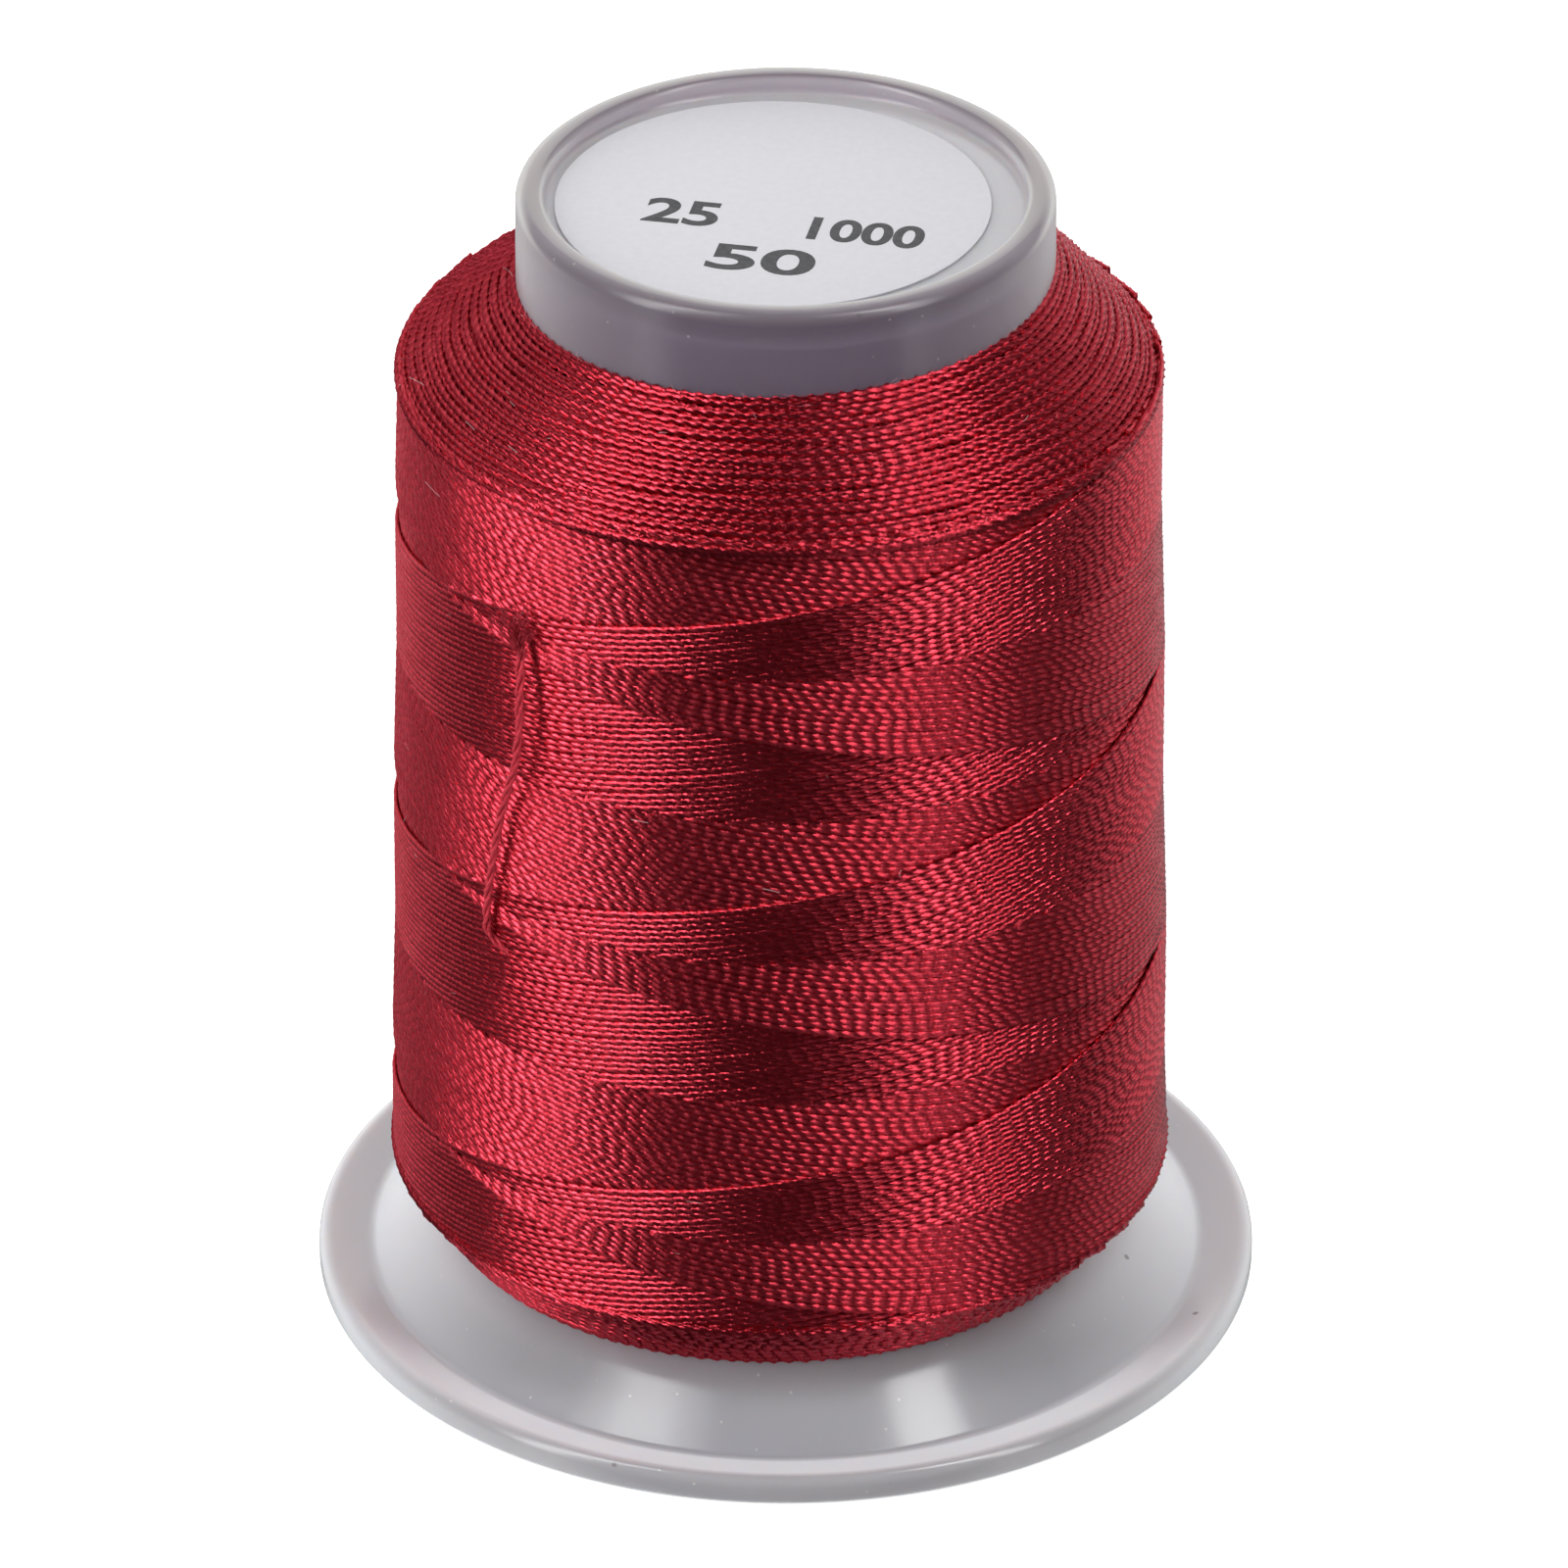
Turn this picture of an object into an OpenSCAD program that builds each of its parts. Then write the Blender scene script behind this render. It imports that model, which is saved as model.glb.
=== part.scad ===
// Cross-wound spool of sewing thread: a moulded spool with a wide base flange, a full package
// of thread with its loose end tucked under the windings, and a round paper label on top.
// The spool stands on the flat foot of its flange. The axis of the spool is Z and z = 0 is the
// surface that it stands on.

/* [Base flange] */
// Diameter over the rim
flange_d = 49.5; // [48:0.5:56]
// Height of the rim above the surface that the spool stands on
rim_h = 1.7; // [1.3:0.1:3]
// Round on the rim's outer top edge
rim_round = 0.6; // [0.2:0.1:0.8]
// Width of the rim's band, from the edge to the crease where the dish begins
rim_w = 2.8; // [2:0.05:3]
// Height of the crease
crease_h = 0.9; // [0.6:0.1:1.2]
// Thickness of the dish
flange_wall = 1.4; // [1:0.1:1.8]
// Height of the seat that the barrel stands on
seat_h = 7.6; // [6.6:0.1:8.4]
// Height of the spigot that the barrel is pressed over
spigot_h = 4; // [2:0.5:8]
// Thickness of the spigot
spigot_wall = 1.2; // [0.8:0.1:2]
// Thickness of the web between the spigot and the hub
web_t = 1.4; // [1:0.1:2]
// Thickness of the hub's wall
hub_wall = 1.2; // [0.8:0.1:2]
// Height of the hub above the web
hub_h = 4; // [2:0.5:8]
// Height of the hub's open end above the surface that the spool stands on
hub_lift = 0.6; // [0.4:0.1:1.5]

/* [Barrel] */
// Overall height of the spool
spool_h = 63.5; // [61:0.5:75]
// Outer diameter at the top
barrel_top_d = 27.4; // [26:0.1:28]
// Outer diameter at the seat
barrel_foot_d = 28; // [27:0.1:29]
// Thickness of the barrel's wall
barrel_wall = 1.4; // [1:0.1:1.8]
// Width of the rounded lip round the top
lip_w = 1.42; // [1:0.02:1.6]
// Round on the lip's outer edge
lip_round = 0.6; // [0.3:0.1:0.8]
// Depth of the recess inside the lip
recess_depth = 0.95; // [0.5:0.05:1.5]
// Thickness of the recessed top
top_t = 1.3; // [1:0.1:2]
// Length of the collar that holds the pin sleeve
collar_h = 3; // [2:0.5:6]
// Thickness of the collar's wall
collar_wall = 1.2; // [0.8:0.1:2]

/* [Pin sleeve] */
// Diameter of the bore that a spool pin goes into
pin_bore_d = 8; // [6:0.1:9]
// Thickness of the sleeve's wall
sleeve_wall = 1.1; // [0.8:0.1:1.6]

/* [Label] */
// Least distance from the label's edge to the lip round it
label_margin = 0.55; // [0.4:0.05:4]
// Thickness of the paper
label_t = 0.12; // [0.08:0.01:0.3]
// Sideways offset of the label from the spool's axis
label_shift = -0.65; // [-1.5:0.05:1.5]

/* [Thread package] */
// Height where the upper shoulder meets the barrel
package_top_z = 58.8; // [56:0.1:60]
// Height of the upper shoulder's outer corner
shoulder_top_z = 53.4; // [50:0.1:55]
// Diameter of the package at the upper corner
body_top_d = 39.3; // [36:0.1:42]
// Height of the lower shoulder's outer corner
shoulder_foot_z = 7.5; // [7:0.1:10]
// Diameter of the package at the lower corner
body_foot_d = 41.1; // [40:0.1:43]
// Diameter where the lower shoulder runs out over the dish
package_foot_d = 37.2; // [36.4:0.1:38]
// Thickness of the wound bundle that forms the outer layer
bundle_d = 1.5; // [0.8:0.1:1.5]
// Turns in the outer layer
turns = 24; // [16:1:24]

/* [Tucked thread end] */
// Thickness of the loose end
tail_d = 0.6; // [0.3:0.05:0.8]
// Height of its free tip
tail_top_z = 46; // [40:0.5:50]
// Height where it goes under the windings
tail_low_z = 27; // [20:0.5:35]

/* [Clearances] */
// Radial clearance of the press fits in the spool
press_gap = 0.03; // [0.01:0.01:0.1]
// Clearance between the thread and what it is wound on
wrap_gap = 0.06; // [0.05:0.01:0.2]

/* [Hidden] */
$fn = 96;
plastic = [0.76, 0.76, 0.79];
crimson = [0.62, 0.03, 0.1];
deep_crimson = [0.5, 0.02, 0.08];
paper = [0.92, 0.92, 0.95];

// Small edge rounds of the mouldings, and the steps that an edge round is drawn with
edge_round = 0.25;
crease_round = 0.6;
round_steps = 5;

// Derived sizes of the spool
flange_r = flange_d / 2;
crease_r = flange_r - rim_w;
barrel_top_r = barrel_top_d / 2;
barrel_foot_r = barrel_foot_d / 2;
dish_tan = (seat_h - crease_h) / (crease_r - barrel_foot_r);
dish_drop = flange_wall / cos(atan(dish_tan));
foot_in_r = crease_r - (dish_drop - crease_h) / dish_tan;
web_under_z = seat_h - web_t;
web_under_r = crease_r - (web_under_z + dish_drop - crease_h) / dish_tan;
top_z = spool_h - recess_depth;
top_under_z = top_z - top_t;
pin_r = pin_bore_d / 2;
sleeve_r = pin_r + sleeve_wall;
hub_bore_r = sleeve_r + press_gap;
hub_r = hub_bore_r + hub_wall;
collar_r = hub_bore_r + collar_wall;
spigot_top_z = seat_h + spigot_h;
spigot_r = barrel_r(spigot_top_z) - barrel_wall - press_gap;
lip_in_r = barrel_top_r - lip_w;
label_r = lip_in_r - label_margin - abs(label_shift);

// Outer radius of the drafted barrel at height z, and height of the dish at radius r
function barrel_r(z) =
    barrel_top_r + (barrel_foot_r - barrel_top_r) * (spool_h - z) / (spool_h - seat_h);
function dish_z(r) = crease_h + dish_tan * (crease_r - r);

// Outline with its corners rounded: each point is [r, z, radius of the round]
function unit(v) = v / norm(v);
function flat(p) = [p[0], p[1]];
function corner(a, b, c, r) =
    let(u = unit(a - b), v = unit(c - b), half = acos(u * v) / 2,
        mid = b + unit(u + v) * r / sin(half), reach = r / tan(half),
        from = b + u * reach - mid, to = b + v * reach - mid, sweep = 180 - 2 * half)
    [for (i = [0 : round_steps])
        mid + (sin(sweep * (1 - i / round_steps)) * from + sin(sweep * i / round_steps) * to)
              / sin(sweep)];
function rounded(p) =
    [for (i = [0 : len(p) - 1])
        let(n = len(p), a = flat(p[(i + n - 1) % n]), b = flat(p[i]), c = flat(p[(i + 1) % n]))
        each (p[i][2] > 0 ? corner(a, b, c, p[i][2]) : [b])];

// Profile of the wound package, from the barrel over both shoulders to the dish, moved
// inwards by d. Each straight stretch is moved along its own normal and the corners meet again.
profile = [[barrel_r(package_top_z), package_top_z], [body_top_d / 2, shoulder_top_z],
           [body_foot_d / 2, shoulder_foot_z],
           [package_foot_d / 2, dish_z(package_foot_d / 2) + wrap_gap]];
function run(i) = unit(profile[i + 1] - profile[i]);
function outward(i) = [-run(i)[1], run(i)[0]];
function meet(p, u, q, v) = p + u * cross(q - p, v) / cross(u, v);
wall_run = unit([barrel_foot_r - barrel_top_r, seat_h - spool_h]);
dish_run = unit([barrel_foot_r - crease_r, seat_h - crease_h]);
function inset(d) =
    let(on = [for (i = [0 : 2]) profile[i] - outward(i) * d])
    [meet(on[0], run(0), [barrel_top_r + wrap_gap, spool_h], wall_run),
     meet(on[0], run(0), on[1], run(1)), meet(on[1], run(1), on[2], run(2)),
     meet(on[2], run(2), [crease_r, crease_h + wrap_gap / cos(atan(dish_tan))], dish_run)];

// Radius of the package's outside at height z, on the long middle stretch
function package_r(z) =
    let(t = (z - shoulder_foot_z) / (shoulder_top_z - shoulder_foot_z))
    (body_foot_d + t * (body_top_d - body_foot_d)) / 2;

// The outer layer is one tube of six sides, with 24 rings in a turn. Between two rings the
// tube cuts the corner of its circle, so the core leaves room for that too.
rings = 24;
sides = 6;
bundle_r = bundle_d / 2;
flat_r = bundle_r * cos(180 / sides);
chord_dip = body_foot_d / 2 * (1 - cos(180 / rings));
core_inset = bundle_r + flat_r + chord_dip + wrap_gap;
path_line = inset(bundle_r);
start_at = (bundle_r + chord_dip + wrap_gap) / abs(cross(run(0), wall_run));
end_at = (bundle_r + chord_dip + wrap_gap) / abs(cross(run(2), dish_run));
lengths = [for (i = [0 : 2]) norm(path_line[i + 1] - path_line[i])];
path_length = lengths[0] + lengths[1] + lengths[2] - start_at - end_at;
pitch = path_length / turns;
start_angle = 200;

// A place on the path line at distance s from the barrel, with the outward normal there
function stretch(s) = s < lengths[0] ? 0 : s < lengths[0] + lengths[1] ? 1 : 2;
function before(i) = i == 0 ? 0 : i == 1 ? lengths[0] : lengths[0] + lengths[1];
function on_line(s) = path_line[stretch(s)] + run(stretch(s)) * (s - before(stretch(s)));
function spin(v, a) = [v[0] * cos(a), v[0] * sin(a), v[1]];
function turn_angle(i) = start_angle + i * 360 / rings;
function turn_s(i) = start_at + pitch * i / rings;
function centre(i) = spin(on_line(turn_s(i)), turn_angle(i));
function normal(i) = spin(outward(stretch(turn_s(i))), turn_angle(i));
function along(i) = unit(centre(i + 1) - centre(i - 1));
last = turns * rings;

// Each end bends into a pocket in the core, beside the barrel's wall at the top and beside the
// dish at the bottom, and runs straight for one tube diameter, square to the pocket's floor.
// dir is -1 at the first ring and 1 at the last. A frame is [centre, direction, outward].
bend_r = bundle_r + wrap_gap;
bend_steps = 3;
function dive(i, dir) = spin(dir < 0 ? wall_run : dish_run, turn_angle(i));
function end_frame(i, dir, a) =
    let(down = dive(i, dir), t0 = along(i) * dir, t = unit(t0 - down * (t0 * down)),
        side = cross(along(i), normal(i)), go = (cos(a) * t + sin(a) * down) * dir)
    [centre(i) + bend_r * (sin(a) * t + (1 - cos(a)) * down), go, cross(side, go)];
function end_tip(i, dir) =
    let(f = end_frame(i, dir, 90))
    [f[0] + dive(i, dir) * bundle_d, f[1], f[2]];
frames = concat(
    [end_tip(0, -1)],
    [for (k = [bend_steps : -1 : 1]) end_frame(0, -1, 90 * k / bend_steps)],
    [for (i = [0 : last]) [centre(i), along(i), normal(i)]],
    [for (k = [1 : bend_steps]) end_frame(last, 1, 90 * k / bend_steps)],
    [end_tip(last, 1)]);

// Ring of points round a frame, and the tube through the rings
function hoop(f, r, n) =
    let(o = unit(f[2] - f[1] * (f[1] * f[2])), b = cross(f[1], o))
    [for (k = [0 : n - 1]) f[0] + r * (cos(360 * (k + 0.5) / n) * o + sin(360 * (k + 0.5) / n) * b)];
module tube(rows, r, n) {
    points = [for (f = rows) each hoop(f, r, n)];
    ends = (len(rows) - 1) * n;
    faces = concat(
        [for (i = [0 : len(rows) - 2], k = [0 : n - 1]) [i * n + k, (i + 1) * n + k, i * n + (k + 1) % n]],
        [for (i = [0 : len(rows) - 2], k = [0 : n - 1])
            [i * n + (k + 1) % n, (i + 1) * n + k, (i + 1) * n + (k + 1) % n]],
        [for (k = [1 : n - 2]) [0, k, k + 1]],
        [for (k = [1 : n - 2]) [ends, ends + k + 1, ends + k]]);
    polyhedron(points, faces);
}

// Least gap of the outer layer to itself, measured between the ring centres
reach_back = rings / 2;
reach_on = rings * 3 / 2;
least_gap = min([for (i = [0 : len(frames) - 1], j = [i + reach_back : min(i + reach_on, len(frames) - 1)])
    norm(frames[i][0] - frames[j][0])]) - bundle_d;
echo("outer winding, least gap to itself in mm", least_gap);

// Route of the tucked end over the package, from its tip down: [angle from the front, share of
// the way down], front is -Y
tail_route = [[-41.5, 0], [-40.9, 0.08], [-40.7, 0.16], [-41.4, 0.32], [-43, 0.42], [-44.4, 0.53],
              [-45.7, 0.66], [-47.2, 0.84], [-48.6, 1]];
tail_sides = 8;
tail_steps = 2;
function tail_point(p) =
    let(z = tail_top_z + (tail_low_z - tail_top_z) * p[1])
    spin([package_r(z) + tail_d / 2 + wrap_gap, z], p[0] - 90);
function blend_point(a, b, c, d, t) =
    b + (c - a) * t / 2 + (a * 2 - b * 5 + c * 4 - d) * t * t / 2
    + (b * 3 - a - c * 3 + d) * t * t * t / 2;
tail_points = [for (p = tail_route) tail_point(p)];
function tail_knot(i) = tail_points[max(0, min(len(tail_points) - 1, i))];
tail_line = concat(
    [for (i = [0 : len(tail_points) - 2], k = [0 : tail_steps - 1])
        blend_point(tail_knot(i - 1), tail_knot(i), tail_knot(i + 1), tail_knot(i + 2), k / tail_steps)],
    [tail_knot(len(tail_points) - 1)]);
function tail_frame(i) =
    let(a = tail_line[max(0, i - 1)], b = tail_line[min(len(tail_line) - 1, i + 1)])
    [tail_line[i], unit(b - a), [tail_line[i][0], tail_line[i][1], 0]];

// Pocket in the core for one end of the outer layer, wide enough for the bend
pocket_gap = 0.25;
pocket_depth = 0.05;
module pocket(i, dir) {
    down = dive(i, dir);
    translate(end_tip(i, dir)[0] + down * pocket_depth)
        rotate([0, acos(-down[2]), atan2(-down[1], -down[0])])
            cylinder(r = bundle_r + pocket_gap, h = bend_r + bundle_d + pocket_depth);
}

module base_flange() {
    color(plastic)
        rotate_extrude()
            polygon(rounded([
                [foot_in_r, 0, 0], [flange_r, 0, edge_round], [flange_r, rim_h, rim_round],
                [crease_r, crease_h, crease_round], [barrel_foot_r, seat_h, 0],
                [spigot_r, seat_h, 0], [spigot_r, spigot_top_z, edge_round],
                [spigot_r - spigot_wall, spigot_top_z, edge_round],
                [spigot_r - spigot_wall, seat_h, edge_round], [hub_r, seat_h, edge_round],
                [hub_r, seat_h + hub_h, edge_round], [hub_bore_r, seat_h + hub_h, 0],
                [hub_bore_r, hub_lift, 0], [hub_r, hub_lift, edge_round],
                [hub_r, web_under_z, edge_round], [web_under_r, web_under_z, edge_round]]));
}

module spool_barrel() {
    color(plastic)
        rotate_extrude()
            polygon(rounded([
                [barrel_foot_r, seat_h, 0], [barrel_top_r, spool_h, lip_round],
                [lip_in_r, spool_h, edge_round], [lip_in_r, top_z, edge_round],
                [pin_r, top_z, 0], [pin_r, top_under_z, 0], [hub_bore_r, top_under_z, 0],
                [hub_bore_r, top_under_z - collar_h, 0],
                [collar_r, top_under_z - collar_h, edge_round],
                [collar_r, top_under_z, edge_round],
                [barrel_r(top_under_z) - barrel_wall, top_under_z, edge_round],
                [barrel_foot_r - barrel_wall, seat_h, 0]]));
}

module pin_sleeve() {
    color(plastic)
        translate([0, 0, hub_lift])
            difference() {
                cylinder(r = sleeve_r, h = top_under_z - hub_lift);
                translate([0, 0, -1])
                    cylinder(r = pin_r, h = top_under_z - hub_lift + 2);
            }
}

module thread_core() {
    line = inset(core_inset);
    color(deep_crimson)
        difference() {
            rotate_extrude()
                polygon(concat(line, [[barrel_r(seat_h) + wrap_gap, dish_z(barrel_r(seat_h)) + wrap_gap]]));
            pocket(0, -1);
            pocket(last, 1);
        }
}

module outer_winding() {
    color(crimson)
        tube(frames, bundle_r, sides);
}

module thread_tail() {
    color(crimson)
        tube([for (i = [0 : len(tail_line) - 1]) tail_frame(i)], tail_d / 2, tail_sides);
}

module paper_label() {
    color(paper)
        translate([label_shift, 0, top_z])
            cylinder(r = label_r, h = label_t);
}

base_flange();
spool_barrel();
pin_sleeve();
thread_core();
outer_winding();
thread_tail();
paper_label();
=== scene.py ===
import math

import bmesh
import bpy
import numpy as np
from mathutils import Matrix, Vector


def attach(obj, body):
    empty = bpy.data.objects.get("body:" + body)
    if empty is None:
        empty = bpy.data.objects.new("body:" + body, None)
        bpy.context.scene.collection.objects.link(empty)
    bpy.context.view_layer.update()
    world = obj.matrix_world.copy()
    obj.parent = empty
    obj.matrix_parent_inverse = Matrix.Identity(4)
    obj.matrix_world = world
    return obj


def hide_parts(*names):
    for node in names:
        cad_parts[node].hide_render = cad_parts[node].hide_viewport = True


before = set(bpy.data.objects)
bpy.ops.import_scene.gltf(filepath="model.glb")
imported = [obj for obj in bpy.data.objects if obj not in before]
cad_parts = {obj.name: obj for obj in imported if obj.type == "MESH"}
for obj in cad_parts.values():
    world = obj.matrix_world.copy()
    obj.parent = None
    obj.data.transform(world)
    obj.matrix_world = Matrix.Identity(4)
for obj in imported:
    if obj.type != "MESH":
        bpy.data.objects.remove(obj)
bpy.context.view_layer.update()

mm = 0.001
scene = bpy.context.scene
scene.view_settings.view_transform = "Standard"

# Camera: a long lens that looks down on the spool from the front
viewSet = {"distance": 0.66, "elevation": 30.596, "aimHeight": 0.028554, "sensor": 36, "lens": 291.46,
           "shiftX": -0.00111, "shiftY": -0.00104, "nearest": 0.05, "furthest": 10}


def placeCamera():
    lens = bpy.data.cameras.new("camera")
    lens.sensor_width = viewSet["sensor"]
    lens.lens = viewSet["lens"]
    lens.shift_x = viewSet["shiftX"]
    lens.shift_y = viewSet["shiftY"]
    lens.clip_start = viewSet["nearest"]
    lens.clip_end = viewSet["furthest"]
    tilt = math.radians(viewSet["elevation"])
    camera = bpy.data.objects.new("camera", lens)
    camera.location = (0, -viewSet["distance"] * math.cos(tilt),
                       viewSet["aimHeight"] + viewSet["distance"] * math.sin(tilt))
    camera.rotation_euler = (math.pi / 2 - tilt, 0, 0)
    scene.collection.objects.link(camera)
    scene.camera = camera


placeCamera()


# Materials. A shading tree is built with these few helpers: plain values are set on a node's
# inputs, and outputs of other nodes are linked to them.
def setInputs(tree, node, values):
    for key, value in values.items():
        if isinstance(value, bpy.types.NodeSocket):
            tree.links.new(value, node.inputs[key])
        else:
            node.inputs[key].default_value = value


def addNode(tree, kind, inputs=None, **settings):
    node = tree.nodes.new(kind)
    for key, value in settings.items():
        setattr(node, key, value)
    setInputs(tree, node, inputs or {})
    return node


def doMath(tree, operation, a, b=0.0, c=0.0):
    return addNode(tree, "ShaderNodeMath", {0: a, 1: b, 2: c}, operation=operation).outputs[0]


def mixColour(tree, share, a, b):
    return addNode(tree, "ShaderNodeMix", {0: share, 6: a, 7: b}, data_type="RGBA").outputs[2]


# The range from low to high becomes the range from newLow to newHigh
def spread(tree, value, low, high, newLow=0.0, newHigh=1.0):
    node = addNode(tree, "ShaderNodeMapRange", {0: value, 1: low, 2: high, 3: newLow, 4: newHigh})
    return node.outputs[0]


def speckle(tree, place, scale, detail=2.0, rough=0.5):
    node = addNode(tree, "ShaderNodeTexNoise",
                   {"Vector": place, "Scale": scale, "Detail": detail, "Roughness": rough})
    return node.outputs[0]


def addBump(tree, height, strength, distance, normal=None):
    inputs = {"Height": height, "Strength": strength, "Distance": distance}
    if normal is not None:
        inputs["Normal"] = normal
    return addNode(tree, "ShaderNodeBump", inputs).outputs[0]


def objectPlace(tree):
    return addNode(tree, "ShaderNodeTexCoord").outputs["Object"]


def splitPlace(tree, place):
    return addNode(tree, "ShaderNodeSeparateXYZ", {0: place}).outputs


def fromAxis(tree, x, y):
    squares = doMath(tree, "ADD", doMath(tree, "MULTIPLY", x, x), doMath(tree, "MULTIPLY", y, y))
    return doMath(tree, "SQRT", squares)


def newGroup(name, ins, outs):
    group = bpy.data.node_groups.new(name, "ShaderNodeTree")
    for label, kind, value in ins:
        group.interface.new_socket(label, in_out="INPUT", socket_type=kind).default_value = value
    for label, kind in outs:
        group.interface.new_socket(label, in_out="OUTPUT", socket_type=kind)
    return group, group.nodes.new("NodeGroupInput"), group.nodes.new("NodeGroupOutput")


# Place on the wound surface, for fibres that run round the spool. The radius, in metres, turns
# angles into lengths.
woundRadius = 0.02


def windingPlaceGroup():
    group, _, made = newGroup("round the spool", [], [("Place", "NodeSocketVector")])
    x, y, z = splitPlace(group, objectPlace(group))
    turn = doMath(group, "ARCTAN2", x, doMath(group, "MULTIPLY", y, -1.0))
    along = doMath(group, "MULTIPLY", turn, woundRadius)
    joined = addNode(group, "ShaderNodeCombineXYZ", {0: along, 1: fromAxis(group, x, y), 2: z})
    group.links.new(joined.outputs[0], made.inputs["Place"])
    return group


# Fine dust: a speck in the middle of a cell, where the cell is one of those that are picked
dustSet = {"amount": 0.1, "size": 900.0, "speckOver": (0.12, 0.06)}


def dustGroup():
    group, given, made = newGroup(
        "dust", [("Amount", "NodeSocketFloat", dustSet["amount"]),
                 ("Size", "NodeSocketFloat", dustSet["size"])], [("Mask", "NodeSocketFloat")])
    cells = addNode(group, "ShaderNodeTexVoronoi",
                    {"Vector": objectPlace(group), "Scale": given.outputs["Size"], "Randomness": 1.0})
    near = spread(group, cells.outputs["Distance"], *dustSet["speckOver"])
    pick = splitPlace(group, cells.outputs["Color"])[0]
    rare = doMath(group, "GREATER_THAN", given.outputs["Amount"], pick)
    group.links.new(doMath(group, "MULTIPLY", near, rare), made.inputs["Mask"])
    return group


windingPlace = windingPlaceGroup()
dust = dustGroup()


def startMaterial(name):
    material = bpy.data.materials.new(name)
    material.use_nodes = True
    tree = material.node_tree
    return material, tree, tree.nodes["Principled BSDF"]


def placeGroup(tree, group, **inputs):
    return addNode(tree, "ShaderNodeGroup", inputs, node_tree=group)


def shaded(colour, level):
    return [v * level for v in colour[:3]] + [1]


# Pairs named "over" are the range of noise that a tone comes in over. Each kind of thread is how light it
# is, how deep the furrows between its plies are, in metres, and how metallic its sheen is. How light it is,
# where below 1, is a painted shade: the open turns, the core seen in the gaps and the free end are darker
# copies of one thread.
threadFinish = {"colour": (0.82, 0.066, 0.102, 1), "deep": (0.68, 0.044, 0.07, 1),
                "noiseOver": (0.3, 0.7), "specular": 0.15, "roughness": 0.295, "uneven": 0.03,
                "anisotropy": 1.0, "quarterTurn": 0.25, "fibreScale": (1500, 30000, 30000),
                "cloudScale": 160.0, "fibreBump": 0.25, "fibreDepth": 0.00002,
                "kinds": {"crimson thread": (1.0, 0.00004, 0.97),
                          "crimson thread of the climbing turns": (1.0, 0.00005, 0.97),
                          "crimson thread of the open turns": (0.85, 0.00005, 0.97),
                          "crimson thread of the core, painted in shade": (0.7, 0.00004, 0.3),
                          "crimson thread of the free end": (0.95, 0.00004, 0.0)}}


def threadMaterial(name, shade, plyDepth, metallic):
    material, tree, shader = startMaterial(name)
    look = threadFinish
    place = placeGroup(tree, windingPlace).outputs["Place"]
    fibres = addNode(tree, "ShaderNodeMapping", {"Vector": place, "Scale": look["fibreScale"]})
    streak = speckle(tree, fibres.outputs[0], 1.0, 2.0)
    cloudy = speckle(tree, place, look["cloudScale"], 3.0)
    tone = doMath(tree, "ADD", doMath(tree, "MULTIPLY", streak, 0.5),
                  doMath(tree, "MULTIPLY", cloudy, 0.5))
    ply = addNode(tree, "ShaderNodeAttribute", attribute_name="ply").outputs["Fac"]
    crown = doMath(tree, "SINE", doMath(tree, "MULTIPLY", ply, math.pi / 2))
    plies = addBump(tree, crown, 1.0, plyDepth)
    across = addNode(tree, "ShaderNodeTangent", direction_type="UV_MAP", uv_map="UVMap")
    setInputs(tree, shader, {
        "Base Color": mixColour(tree, spread(tree, tone, *look["noiseOver"]),
                                shaded(look["deep"], shade), shaded(look["colour"], shade)),
        "Roughness": spread(tree, streak, *look["noiseOver"], look["roughness"] - look["uneven"],
                            look["roughness"] + look["uneven"]),
        "Metallic": metallic, "Specular IOR Level": look["specular"],
        "Normal": addBump(tree, streak, look["fibreBump"], look["fibreDepth"], plies),
        "Anisotropic": look["anisotropy"], "Anisotropic Rotation": look["quarterTurn"],
        "Tangent": across.outputs[0]})
    return material


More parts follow.
